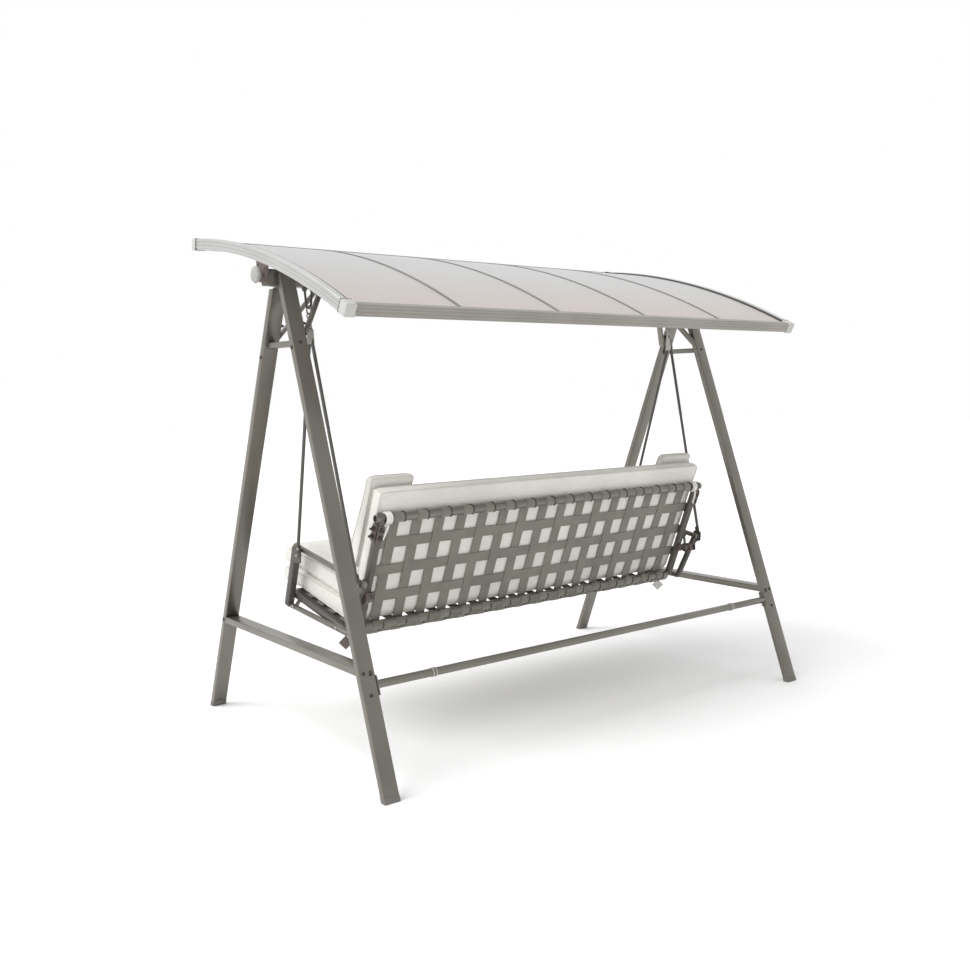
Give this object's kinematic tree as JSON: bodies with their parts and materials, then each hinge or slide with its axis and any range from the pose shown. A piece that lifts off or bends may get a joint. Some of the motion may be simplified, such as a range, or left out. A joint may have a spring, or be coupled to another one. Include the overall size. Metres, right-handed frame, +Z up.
{
  "type": "garden swing seat",
  "caption": "Free-standing garden swing: A-frames, hanging strapped bench seat with reclining back, cushions and a tilting arched canopy.",
  "frame": {"origin": "on the ground, midway between the four feet", "axes": "+Z up, +X towards the sitter's left, the sitter looks towards -Y, rear at +Y"},
  "size_m": [2.1546, 1.275, 1.772],
  "materials": {
    "frame_paint": "satin powder coat, warm taupe grey",
    "hanger_paint": "satin dark powder coat",
    "bracket_paint": "satin dark powder coat",
    "foot_plastic": "moulded, matte",
    "rail_aluminium": "ridged extrusion, satin",
    "rib_aluminium": "satin",
    "corner_plastic": "moulded, matte",
    "knob_plastic": "moulded, matte",
    "canopy_polycarbonate": "translucent twin-wall sheet",
    "strap_webbing": "woven polyester strap",
    "cushion_fabric": "woven outdoor canvas",
    "pillow_fabric": "woven outdoor canvas"
  },
  "bodies": {
    "stand": {"rear_leg_left": "frame_paint", "front_leg_left": "frame_paint", "foot_cap_rear_left": "foot_plastic", "foot_cap_front_left": "foot_plastic", "side_crossbar_left": "frame_paint", "upper_crossbar_left": "frame_paint", "rear_brace_left": "frame_paint", "front_brace_left": "frame_paint", "hook_left": "hanger_paint", "stretcher_end_left": "frame_paint", "rear_leg_right": "frame_paint", "front_leg_right": "frame_paint", "foot_cap_rear_right": "foot_plastic", "foot_cap_front_right": "foot_plastic", "side_crossbar_right": "frame_paint", "upper_crossbar_right": "frame_paint", "rear_brace_right": "frame_paint", "front_brace_right": "frame_paint", "hook_right": "hanger_paint", "stretcher_end_right": "frame_paint", "top_beam": "frame_paint", "stretcher_middle": "frame_paint"},
    "canopy": {"canopy_rail_left": "rail_aluminium", "canopy_corner_front_left": "corner_plastic", "canopy_corner_rear_left": "corner_plastic", "tilt_bracket_left": "bracket_paint", "canopy_rail_right": "rail_aluminium", "canopy_corner_front_right": "corner_plastic", "canopy_corner_rear_right": "corner_plastic", "tilt_bracket_right": "bracket_paint", "canopy_rail_front": "rail_aluminium", "canopy_rail_rear": "rail_aluminium", "canopy_rib_1": "rib_aluminium", "canopy_rib_2": "rib_aluminium", "canopy_rib_3": "rib_aluminium", "canopy_rib_4": "rib_aluminium", "canopy_panel_1": "canopy_polycarbonate", "canopy_panel_2": "canopy_polycarbonate", "canopy_panel_3": "canopy_polycarbonate", "canopy_panel_4": "canopy_polycarbonate", "canopy_panel_5": "canopy_polycarbonate"},
    "knob_left": {"knob_left": "knob_plastic"},
    "knob_right": {"knob_right": "knob_plastic"},
    "seat": {"hanger_left": "hanger_paint", "arm_frame_left": "frame_paint", "hanger_right": "hanger_paint", "arm_frame_right": "frame_paint", "seat_tube_front": "frame_paint", "seat_tube_rear": "frame_paint", "seat_webbing": "strap_webbing", "seat_cushion_lower": "cushion_fabric", "seat_cushion_upper": "cushion_fabric"},
    "back": {"back_tube_lower": "frame_paint", "back_tube_upper": "frame_paint", "back_tube_left": "frame_paint", "back_tube_right": "frame_paint", "back_webbing": "strap_webbing", "back_cushion": "cushion_fabric", "pillow_left": "pillow_fabric", "pillow_right": "pillow_fabric"}
  },
  "joints": [
    {"name": "swing", "type": "hinge", "parent": "stand", "child": "seat", "pos_m": [0, 0.038, 1.49], "axis": [1, 0, 0], "range_deg": [-18, 18]},
    {"name": "back_recline", "type": "hinge", "parent": "seat", "child": "back", "pos_m": [0, 0.135, 0.409], "axis": [-1, 0, 0], "range_deg": [0, 55]},
    {"name": "canopy_tilt", "type": "hinge", "parent": "stand", "child": "canopy", "pos_m": [0, 0.03, 1.59], "axis": [1, 0, 0], "range_deg": [-10, 12]},
    {"name": "knob_turn_left", "type": "hinge", "parent": "stand", "child": "knob_left", "pos_m": [1.06, 0.03, 1.59], "axis": [1, 0, 0], "continuous": true},
    {"name": "knob_turn_right", "type": "hinge", "parent": "stand", "child": "knob_right", "pos_m": [-1.06, 0.03, 1.59], "axis": [-1, 0, 0], "continuous": true}
  ]
}
